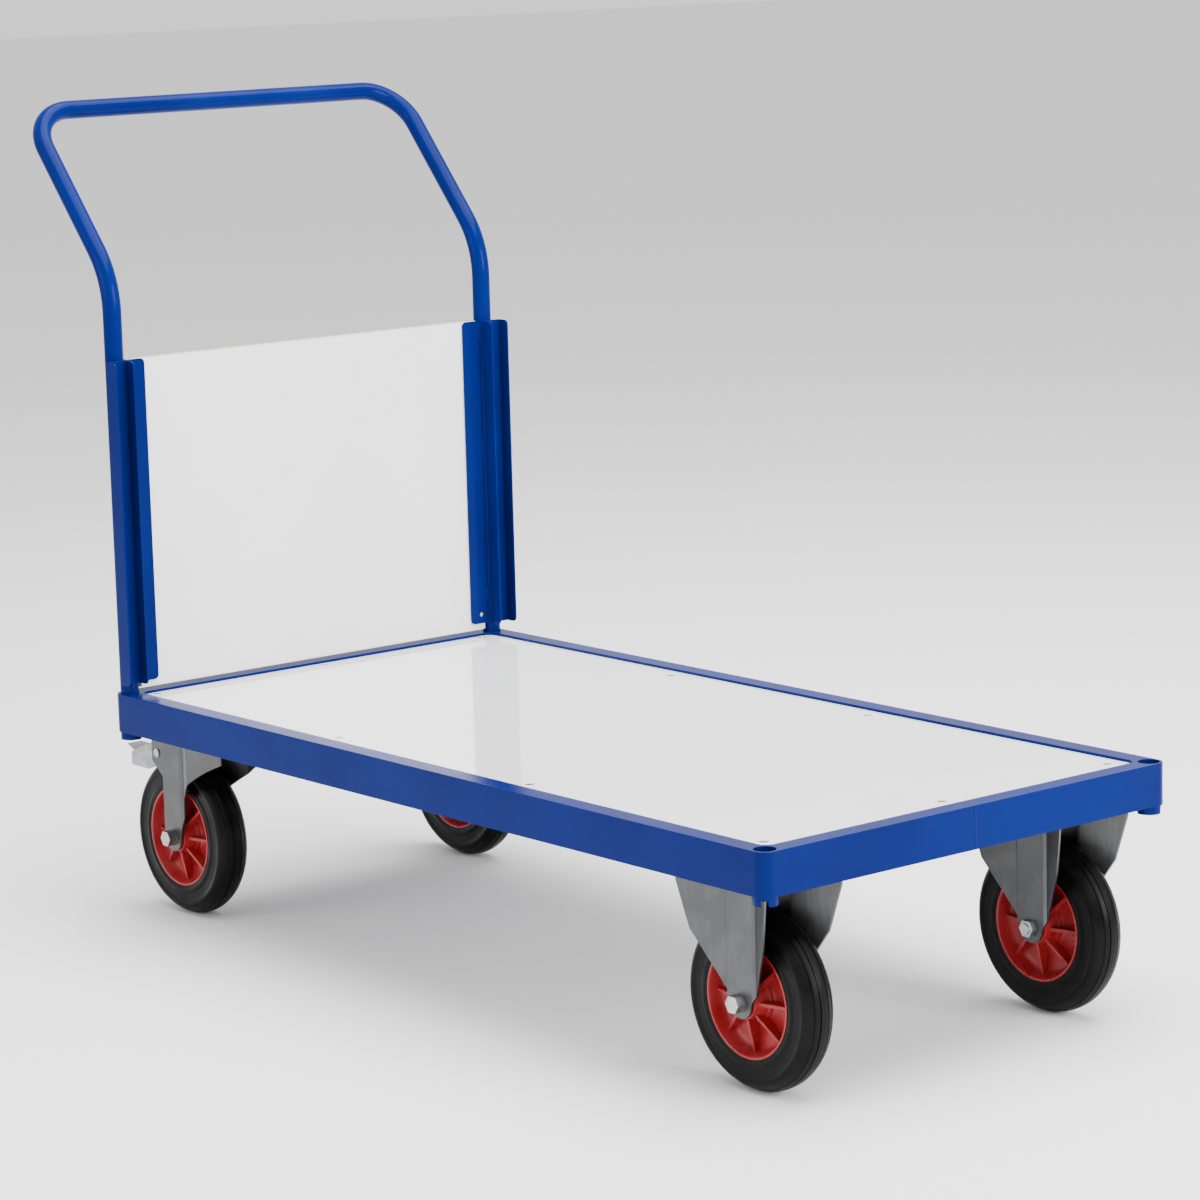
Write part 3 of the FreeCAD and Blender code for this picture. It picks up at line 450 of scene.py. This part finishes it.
def finish_piece(name, bm, body, materials, smooth=35.0):
    """Turns a bmesh into a shaded object that rides on a body."""
    mesh = bpy.data.meshes.new(name)
    for face in bm.faces:
        face.smooth = True
    for edge in bm.edges:
        edge.smooth = not (len(edge.link_faces) == 2 and edge.calc_face_angle() > math.radians(smooth))
    bm.to_mesh(mesh)
    bm.free()
    piece = bpy.data.objects.new(name, mesh)
    bpy.context.scene.collection.objects.link(piece)
    for material in materials:
        mesh.materials.append(material)
    weighted = piece.modifiers.new("even_shading", "WEIGHTED_NORMAL")
    weighted.keep_sharp = True
    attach(piece, body)
    return piece


def merged_copy(node):
    """Bmesh of a CAD part with its doubles merged and its flat triangles joined."""
    bm = bmesh.new()
    bm.from_mesh(nodes[node].data)
    bmesh.ops.remove_doubles(bm, verts=bm.verts, dist=0.00001)
    bmesh.ops.dissolve_limit(bm, angle_limit=math.radians(0.5), verts=bm.verts, edges=bm.edges,
                             delimit=set())
    return bm


def sharp_edges(bm, angle):
    return [edge for edge in bm.edges
            if len(edge.link_faces) == 2 and edge.calc_face_angle() > math.radians(angle)]


def softened(node, width, segments=2, angle=40.0, materials=None):
    """Copy of a CAD part with its sharp edges rounded; stands for the part."""
    bm = merged_copy(node)
    bmesh.ops.bevel(bm, geom=sharp_edges(bm, angle), offset=width, offset_type="OFFSET",
                    segments=segments, profile=0.5, affect="EDGES", clamp_overlap=False, material=-1)
    slot = SLOT_OF[node]
    piece = finish_piece("finished_" + node, bm, BODY_OF[node], materials or [FINISH[slot]])
    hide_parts(node)
    return piece


# %% [markdown]
# ## Frame, sockets and cross members
# The frame is one rolled strip: the radius on its top edge is about the sheet's own thickness. The
# cross members under the deck are folded from thicker sheet.

# %% Soften the sheet metal
softened("perimeter_frame", 0.6 * MM, materials=[FRAME_BLUE])
for node in ("castor_crossmember_front", "castor_crossmember_rear",
             "deck_crossmember_front", "deck_crossmember_rear"):
    softened(node, 0.6 * MM)
for end in ENDS:
    for side in SIDES:
        softened(f"socket_{end}_{side}", 0.35 * MM)
softened("socket_seat_rings", 0.3 * MM)

# %% Boards
softened("deck_board", 0.4 * MM)


def build_end_panel():
    """The panel's two faces are laminate; its four edges are bare board."""
    bm = merged_copy("end_panel")
    bmesh.ops.bevel(bm, geom=sharp_edges(bm, 40.0), offset=0.3 * MM, offset_type="OFFSET", segments=1,
                    profile=0.5, affect="EDGES", clamp_overlap=False, material=-1)
    for face in bm.faces:
        face.material_index = 0 if abs(face.normal.x) > 0.9 else 1
    piece = finish_piece("finished_end_panel", bm, BODY_OF["end_panel"],
                         [PANEL_WHITE, BOARD_EDGE])
    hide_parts("end_panel")


build_end_panel()

# %% Push end metalwork
for side in SIDES:
    softened(f"end_channel_{side}", 0.4 * MM)
    softened(f"side_channel_{side}", 0.4 * MM)
softened("handle_tube", 0.4 * MM)
softened("panel_screws", 0.4 * MM)

# %% Castor metalwork
for side in SIDES:
    softened(f"fixed_fork_{side}", 0.5 * MM)
    softened(f"swivel_fork_{side}", 0.5 * MM)
    softened(f"swivel_plate_{side}", 0.6 * MM)
    softened(f"ball_race_{side}", 0.5 * MM)
    softened(f"king_pin_{side}", 0.6 * MM)
    softened(f"brake_pedal_{side}", 0.5 * MM)
    softened(f"brake_shoe_{side}", 0.8 * MM)
    softened(f"brake_pivot_{side}", 0.4 * MM)
    softened(f"swivel_axle_bolt_{side}", 0.5 * MM)
    softened(f"swivel_axle_nut_{side}", 0.5 * MM)
    softened(f"swivel_axle_sleeve_{side}", 0.3 * MM)
for node in ("fixed_axle_bolts", "fixed_axle_nuts", "castor_mounting_bolts", "castor_mounting_nuts"):
    softened(node, 0.5 * MM)
softened("fixed_axle_sleeves", 0.3 * MM)

# %% [markdown]
# ## Tyres
# A solid tyre is turned about its axle, so it is one outline spun through a full circle: a bead on the
# rim, a raised ring on each wall, rounded shoulders, and a crowned tread with four grooves and a mould
# line round the middle. Spinning keeps every groove a true circle with few points.

# %% Tyre outline and spin
ROUNDING = 0.01 * MM
TYRE_RADIUS = (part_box("tyre_front_left")[1].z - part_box("tyre_front_left")[0].z) / 2 - ROUNDING
TYRE_HALF = (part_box("tyre_front_left")[1].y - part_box("tyre_front_left")[0].y) / 2
SHOULDER = (19.0 * MM, TYRE_RADIUS - 9.0 * MM)
GROOVES = (5.5 * MM, 12.0 * MM)
GROOVE_HALF = 0.7 * MM
GROOVE_DEPTH = 1.3 * MM


def crown(y):
    """Radius of the tread at a distance across from the middle: an arc through both shoulders."""
    rise = TYRE_RADIUS - SHOULDER[1]
    arc = (SHOULDER[0] ** 2 + rise ** 2) / (2 * rise)
    return TYRE_RADIUS - arc + math.sqrt(arc ** 2 - y ** 2)


def tyre_outline():
    """Half outline, from the middle of the tread to the bead: pairs of across and radius."""
    points = [(0.35 * MM, TYRE_RADIUS), (0.8 * MM, crown(0.8 * MM) - 0.35 * MM), (3.0 * MM, crown(3.0 * MM))]
    for groove in GROOVES:
        for edge, drop in ((-2.2, 0.0), (-1.0, 0.0), (-0.6, 1.0), (0.6, 1.0), (1.0, 0.0), (2.2, 0.0)):
            y = groove + edge * GROOVE_HALF
            points.append((y, crown(y) - drop * GROOVE_DEPTH))
    points += [(16.0 * MM, crown(16.0 * MM)), (18.0 * MM, crown(18.0 * MM))]
    wall = TYRE_HALF
    for across, radius in ((wall - 1.1 * MM, 90.2), (wall - 0.9 * MM, 88.6), (wall - 0.1 * MM, 87.8),
                           (wall, 86.4), (wall, 84.6), (wall - 0.9 * MM, 83.4), (wall - 1.3 * MM, 80.0),
                           (wall - 1.3 * MM, 73.5), (wall - 0.9 * MM, 71.0), (wall, 70.0), (wall, 67.0),
                           (wall - 0.8 * MM, 65.0), (wall - 1.2 * MM, 62.6)):
        points.append((across, radius * MM))
    return points


def spun(bm, points, axle, steps):
    """Spins a chain of (across, radius) points a full turn about the axle."""
    ring = [bm.verts.new((axle.x, axle.y + across, axle.z + radius)) for across, radius in points]
    edges = [bm.edges.new(pair) for pair in zip(ring, ring[1:])]
    bmesh.ops.spin(bm, geom=ring + edges, cent=axle, axis=(0.0, 1.0, 0.0), angle=math.tau, steps=steps,
                   use_merge=True, use_duplicate=False)
    bmesh.ops.remove_doubles(bm, verts=bm.verts, dist=0.000001)


def axle_of(end, side):
    low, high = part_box(f"tyre_{end}_{side}")
    return (low + high) / 2


def build_tyre(end, side):
    half = tyre_outline()
    points = [(-across, radius) for across, radius in reversed(half)] + half
    bm = bmesh.new()
    spun(bm, points + points[:1], axle_of(end, side), 144)
    bmesh.ops.recalc_face_normals(bm, faces=bm.faces)
    piece = finish_piece(f"moulded_tyre_{end}_{side}", bm, f"wheel_{end}_{side}",
                         [TYRE_BLACK], smooth=60.0)
    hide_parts(f"tyre_{end}_{side}")
    return piece


for end in ENDS:
    for side in SIDES:
        tyre = build_tyre(end, side)
print("tyre faces", len(tyre.data.polygons))

# %% [markdown]
# ## Hubs
# The hub is one moulding: a rim whose inside slopes in to a dished web, a collar, a boss round the
# bearing, and eight ribs on each side that run from the boss out to the rim. The round part is spun.
# Each rib is a thin wedge that is turned about the axle, lower at the rim than at the boss.

# %% Hub outline
RIM_OUTER = 62.6 * MM
RIM_HALF = TYRE_HALF - 0.6 * MM
BORE = 13.5 * MM
BORE_CHAMFER = 0.6 * MM
BOSS_HALF = (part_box("hub_front_left")[1].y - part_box("hub_front_left")[0].y) / 2
RIB_COUNT = 8
RIB_INNER = 19.0 * MM
RIB_OUTER = 57.5 * MM
RIB_TALL = 19.5 * MM
RIB_LOW = 10.5 * MM
RIB_ROOT = 1.0 * MM
RIB_HALF_TOP = 1.05 * MM
RIB_HALF_ROOT = 1.75 * MM
RIB_ROUND = 0.7 * MM


def hub_outline():
    """Half outline of the hub, from the rim's seat round its lip and down the web to the bore."""
    half = [(8.0, RIM_OUTER - 1.0 * MM), (RIM_HALF / MM - 4.0, RIM_OUTER), (RIM_HALF / MM, RIM_OUTER)]
    points = [(across * MM, radius) for across, radius in half]
    inner = ((RIM_HALF / MM + 0.2, 61.6), (RIM_HALF / MM, 60.4), (19.0, 59.4), (12.0, 57.6), (6.5, 55.4),
             (4.0, 52.5), (3.2, 47.0), (3.0, 36.0), (3.4, 29.0), (5.0, 26.2), (7.6, 25.4), (9.0, 24.4),
             (9.2, 22.6), (12.0, 21.4), (21.0, 19.2), (BOSS_HALF / MM - 0.5, 18.6), (BOSS_HALF / MM, 18.0))
    points += [(across * MM, radius * MM) for across, radius in inner]
    return points + [(BOSS_HALF, BORE + BORE_CHAMFER), (BOSS_HALF - BORE_CHAMFER, BORE)]


# %% Ribs
def add_rib(bm, axle, turn, face):
    """One wedge rib: root on the web, tall at the boss and low at the rim."""
    made = bmesh.ops.create_cube(bm, size=1.0)["verts"]
    for vert in made:
        at_rim = vert.co.x > 0
        top = vert.co.y > 0
        radial = RIB_OUTER if at_rim else RIB_INNER
        crest = RIB_LOW if at_rim else RIB_TALL
        height = crest if top else RIB_ROOT
        half_thick = RIB_HALF_TOP if top else RIB_HALF_ROOT
        vert.co = Vector((math.copysign(half_thick, vert.co.z), face * height, radial))
    wedge = set(made)
    edges = [edge for edge in bm.edges
             if all(vert in wedge and abs(vert.co.y) > 2.0 * RIB_ROOT for vert in edge.verts)]
    grown = bmesh.ops.bevel(bm, geom=edges, offset=RIB_ROUND, offset_type="OFFSET", segments=2,
                            profile=0.5, affect="EDGES", clamp_overlap=True, material=-1)
    rib = {vert for vert in made if vert.is_valid} | set(grown["verts"])
    bmesh.ops.rotate(bm, verts=list(rib), cent=(0.0, 0.0, 0.0), matrix=Matrix.Rotation(turn, 3, "Y"))
    bmesh.ops.translate(bm, verts=list(rib), vec=axle)


# %% Build the hubs
def build_hub(end, side):
    axle = axle_of(end, side)
    half = hub_outline()
    points = half + [(-across, radius) for across, radius in reversed(half)]
    bm = bmesh.new()
    spun(bm, points + points[:1], axle, 96)
    for face in (1, -1):
        for index in range(RIB_COUNT):
            add_rib(bm, axle, math.tau * (index + 0.5 * (face > 0)) / RIB_COUNT, face)
    bmesh.ops.recalc_face_normals(bm, faces=bm.faces)
    piece = finish_piece(f"moulded_hub_{end}_{side}", bm, f"wheel_{end}_{side}", [RED],
                         smooth=40.0)
    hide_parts(f"hub_{end}_{side}")
    softened(f"roller_bearing_{end}_{side}", 0.3 * MM)
    return piece


for end in ENDS:
    for side in SIDES:
        hub = build_hub(end, side)
print("hub faces", len(hub.data.polygons))

# %% [markdown]
# ## Deck screws
# Ten countersunk screws with a cross recess. A circle is the head; its inset ring is pulled into the
# outline of a cross, whose edge runs at one distance along the arms and at another between them, and
# the cross is then pushed down and narrowed.

# %% Screw heads
ARM = 3.1 * MM
FACETS = 24
HEAD_SUNK = 0.1 * MM
HEAD_ROUND = 0.3 * MM
RECESS_DEPTH = 1.9 * MM


def screw_places():
    """Middle of the head and head radius of each screw, from the loose pieces of the CAD part."""
    bm = merged_copy("deck_screws")
    left = set(bm.verts)
    places = []
    while left:
        island, edge = set(), [left.pop()]
        while edge:
            vert = edge.pop()
            island.add(vert)
            near = [link.other_vert(vert) for link in vert.link_edges]
            edge += [other for other in near if other in left]
            left -= set(near)
        xs = [vert.co.x for vert in island]
        ys = [vert.co.y for vert in island]
        middle = ((min(xs) + max(xs)) / 2, (min(ys) + max(ys)) / 2, max(vert.co.z for vert in island))
        places.append((middle, (max(xs) - min(xs)) / 2))
    bm.free()
    return sorted(places)


def cross_radius(angle):
    """Distance from the middle to the edge of a cross at an angle."""
    off_arm = abs((angle + math.pi / 4) % (math.pi / 2) - math.pi / 4)
    half_width = ARM * math.tan(math.tau / FACETS)
    if off_arm <= math.tau / FACETS + 0.001:
        return ARM / math.cos(off_arm)
    return half_width / math.sin(off_arm)


# %% Cut the recess and sink the shank
def add_screw(bm, place, head_radius, turn):
    """Head with its cross recess, then the cone under it and a short shank."""
    start = set(bm.verts)
    circle = bmesh.ops.create_circle(bm, cap_ends=True, segments=FACETS, radius=head_radius - HEAD_ROUND)
    face = circle["verts"][0].link_faces[0]
    bmesh.ops.inset_region(bm, faces=[face], thickness=0.35 * head_radius, use_even_offset=True)
    for vert in face.verts:
        angle = math.atan2(vert.co.y, vert.co.x)
        reach = cross_radius(angle)
        vert.co = Vector((reach * math.cos(angle), reach * math.sin(angle), -0.05 * MM))
    pushed = bmesh.ops.extrude_discrete_faces(bm, faces=[face])["faces"][0]
    for vert in pushed.verts:
        vert.co = Vector((0.6 * vert.co.x, 0.6 * vert.co.y, -RECESS_DEPTH))
    rim = [edge for edge in bm.edges if edge.is_boundary and not set(edge.verts) & start]
    for radius, depth in ((head_radius, 0.25), (0.45 * head_radius, 3.1), (0.43 * head_radius, 12.0)):
        grown = bmesh.ops.extrude_edge_only(bm, edges=rim)["geom"]
        ring = [item for item in grown if isinstance(item, bmesh.types.BMVert)]
        rim = [item for item in grown if isinstance(item, bmesh.types.BMEdge) and item.is_boundary]
        for vert in ring:
            flat = vert.co.to_2d().normalized() * radius
            vert.co = Vector((flat.x, flat.y, -depth * MM))
    bmesh.ops.contextual_create(bm, geom=rim)
    new = [vert for vert in bm.verts if vert not in start]
    bmesh.ops.rotate(bm, verts=new, cent=(0.0, 0.0, 0.0), matrix=Matrix.Rotation(turn, 3, "Z"))
    bmesh.ops.translate(bm, verts=new, vec=place)


def build_deck_screws():
    bm = bmesh.new()
    for index, (place, head_radius) in enumerate(screw_places()):
        add_screw(bm, Vector(place) - Vector((0.0, 0.0, HEAD_SUNK)), head_radius, 0.37 + 1.9 * index)
    bmesh.ops.recalc_face_normals(bm, faces=bm.faces)
    piece = finish_piece("cross_head_deck_screws", bm, "platform", [BRIGHT_ZINC])
    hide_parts("deck_screws")
    print("deck screws", index + 1, "head radius", round(head_radius, 5))


build_deck_screws()

# %% [markdown]
# ## Weld beads
# The channels are stitch welded to the posts, and each socket is welded to the frame. A bead is a row
# of overlapping ripples, so its outline is waved along its length. The butt weld that closes the frame
# is dressed flush, so it is a ripple in the frame's own paint.

# %% Weld beads
def add_bead(bm, start, end, radius, ripple=2.6 * MM):
    """Rippled bar with rounded ends between two points: a wavy outline spun about its own axis."""
    axis = end - start
    before = set(bm.verts)
    steps = int(axis.length / ripple * 6)
    chain = []
    for index in range(steps + 1):
        along = index / steps
        taper = math.sqrt(1.0 - abs(2.0 * along - 1.0) ** 6)
        wave = 1.0 + 0.16 * math.sin(math.tau * along * axis.length / ripple)
        chain.append(bm.verts.new((radius * taper * wave, 0.0, (along - 0.5) * axis.length)))
    edges = [bm.edges.new(pair) for pair in zip(chain, chain[1:])]
    bmesh.ops.spin(bm, geom=chain + edges, cent=(0.0, 0.0, 0.0), axis=(0.0, 0.0, 1.0), angle=math.tau,
                   steps=12, use_merge=True, use_duplicate=False)
    bmesh.ops.remove_doubles(bm, verts=[v for v in bm.verts if v not in before], dist=0.000001)
    made = [vert for vert in bm.verts if vert not in before]
    turn = axis.to_track_quat("Z", "Y").to_matrix()
    bmesh.ops.rotate(bm, verts=made, cent=(0.0, 0.0, 0.0), matrix=turn)
    bmesh.ops.translate(bm, verts=made, vec=(start + end) / 2)


# %% Post and socket welds
BEAD_RADIUS = 1.7 * MM
RING_RADIUS = 1.2 * MM
POST_STITCHES = ((0.028, 0.020), (0.215, 0.026), (0.372, 0.022))


def build_post_welds(side):
    """Stitches in the front grooves between each post and its channels, at three heights."""
    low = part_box(f"side_channel_{side}")[0]
    socket_low, socket_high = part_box(f"socket_rear_{side}")
    post = (socket_low + socket_high) / 2
    radius = POST_DIAMETER / 2
    bm = bmesh.new()
    for height, length in POST_STITCHES:
        for across in (-1, 1):
            spot = Vector((post.x + 0.58 * radius, post.y + across * 0.9 * radius, low.z + height))
            add_bead(bm, spot, spot + Vector((0.0, 0.0, length)), BEAD_RADIUS)
    bmesh.ops.recalc_face_normals(bm, faces=bm.faces)
    finish_piece(f"post_weld_beads_{side}", bm, "push_end", [BLUE], smooth=80.0)


def build_socket_welds():
    """A ring of bead where each socket meets the frame's lower return."""
    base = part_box("perimeter_frame")[0].z
    bm = bmesh.new()
    for end in ENDS:
        for side in SIDES:
            low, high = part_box(f"socket_{end}_{side}")
            middle = (low + high) / 2
            outer = (high.y - low.y) / 2
            ring = []
            for index in range(8):
                angle = math.tau * index / 8
                ring.append(bm.verts.new((middle.x + outer + RING_RADIUS * math.cos(angle), middle.y,
                                          base + RING_RADIUS * math.sin(angle))))
            edges = [bm.edges.new(pair) for pair in zip(ring, ring[1:] + ring[:1])]
            bmesh.ops.spin(bm, geom=ring + edges, cent=middle, axis=(0.0, 0.0, 1.0), angle=math.tau,
                           steps=60, use_merge=True, use_duplicate=False)
    bmesh.ops.remove_doubles(bm, verts=bm.verts, dist=0.000001)
    bmesh.ops.recalc_face_normals(bm, faces=bm.faces)
    finish_piece("socket_weld_rings", bm, "platform", [BLUE], smooth=80.0)


for side in SIDES:
    build_post_welds(side)
build_socket_welds()

# %% [markdown]
# ## Floor, light and camera
# A plain pale floor and large soft lights, as in a product studio. The camera stands far back with a
# long lens, a little above deck height, and is turned a touch about its own axis.

# %% Floor
def build_floor():
    bm = bmesh.new()
    bmesh.ops.create_grid(bm, x_segments=2, y_segments=2, size=30.0)
    mesh = bpy.data.meshes.new("studio_floor")
    bm.to_mesh(mesh)
    bm.free()
    floor = bpy.data.objects.new("studio_floor", mesh)
    bpy.context.scene.collection.objects.link(floor)
    material, _, shader = start_material("studio_floor_paint", Specular_IOR_Level=0.1)
    shader.inputs["Base Color"].default_value = (0.86, 0.86, 0.86, 1.0)
    shader.inputs["Roughness"].default_value = 0.9
    mesh.materials.append(material)


def build_light(name, place, target, size, power):
    data = bpy.data.lights.new(name, "AREA")
    data.shape = "RECTANGLE"
    data.size, data.size_y = size
    data.energy = power
    light = bpy.data.objects.new(name, data)
    bpy.context.scene.collection.objects.link(light)
    light.location = place
    light.rotation_euler = (Vector(target) - Vector(place)).to_track_quat("-Z", "Y").to_euler()


build_floor()
build_light("overhead_softbox", (0.4, 0.3, 3.6), (0.0, 0.0, 0.3), (4.2, 3.2), 380.0)
build_light("front_softbox", (4.2, 0.9, 1.9), (0.0, 0.0, 0.4), (2.4, 1.8), 190.0)
build_light("side_softbox", (-1.2, -4.4, 1.7), (0.0, 0.0, 0.4), (2.6, 1.6), 50.0)
world = bpy.data.worlds.new("studio_world")
world.use_nodes = True
world.node_tree.nodes["Background"].inputs["Color"].default_value = (1.0, 1.0, 1.0, 1.0)
world.node_tree.nodes["Background"].inputs["Strength"].default_value = 1.15
bpy.context.scene.world = world

# %% Camera
CAMERA_PLACE = Vector((3.6283, -2.919, 1.247))
CAMERA_AZIMUTH = math.radians(50.63)
CAMERA_ELEVATION = math.radians(10.02)
CAMERA_ROLL = math.radians(-1.52)


def build_camera():
    back = Vector((math.sin(CAMERA_AZIMUTH) * math.cos(CAMERA_ELEVATION),
                   -math.cos(CAMERA_AZIMUTH) * math.cos(CAMERA_ELEVATION), math.sin(CAMERA_ELEVATION)))
    right = (-back).cross(Vector((0.0, 0.0, 1.0))).normalized()
    up = right.cross(-back)
    turned_right = math.cos(CAMERA_ROLL) * right + math.sin(CAMERA_ROLL) * up
    turned_up = math.cos(CAMERA_ROLL) * up - math.sin(CAMERA_ROLL) * right
    data = bpy.data.cameras.new("studio_camera")
    data.sensor_width = 36.0
    data.lens = 120.23
    data.clip_end = 100.0
    camera = bpy.data.objects.new("studio_camera", data)
    bpy.context.scene.collection.objects.link(camera)
    turn = Matrix((turned_right, turned_up, back)).transposed()
    camera.matrix_world = Matrix.Translation(CAMERA_PLACE) @ turn.to_4x4()
    bpy.context.scene.camera = camera


build_camera()
